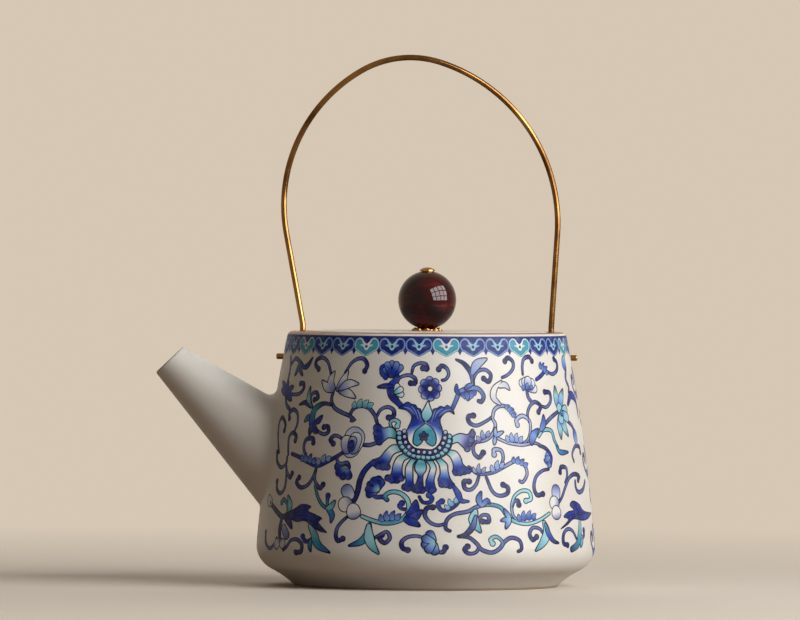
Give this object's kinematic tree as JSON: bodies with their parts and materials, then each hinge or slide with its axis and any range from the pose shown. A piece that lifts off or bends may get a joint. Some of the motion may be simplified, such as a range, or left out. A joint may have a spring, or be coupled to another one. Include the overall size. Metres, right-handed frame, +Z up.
{
  "type": "teapot",
  "caption": "Porcelain teapot with blue lotus-scroll painting, straight spout, flush lift-off lid with a stone bead knob, and a swinging brass wire bail handle.",
  "frame": {"origin": "middle of the foot ring, in the plane that it rests on", "axes": "+Z up along the pot's axis, -X along the spout's direction, the bail in the XZ plane"},
  "size_m": [0.1507, 0.116, 0.1821],
  "materials": {
    "porcelain": "satin ivory glaze with underglaze blue painting",
    "brass": "drawn wire and stampings, lightly aged",
    "red_stone": "polished dark red agate",
    "silicone": "matte translucent white"
  },
  "bodies": {
    "pot": {"pot_body": "porcelain", "spout": "porcelain"},
    "lid": {"lid": "porcelain", "knob_bead": "red_stone", "flower_collar": "brass", "knob_screw": "brass", "seal_washer": "silicone", "brass_washer": "brass", "knob_nut": "brass"},
    "bail": {"bail": "brass"}
  },
  "joints": [
    {"name": "bail_swing", "type": "hinge", "parent": "pot", "child": "bail", "pos_m": [0, 0, 0.0784], "axis": [1, 0, 0], "range_deg": [-40, 40]},
    {"name": "lid_lift", "type": "slide", "parent": "pot", "child": "lid", "axis": [0, 0, 1], "range_m": [0, 0.045]}
  ]
}
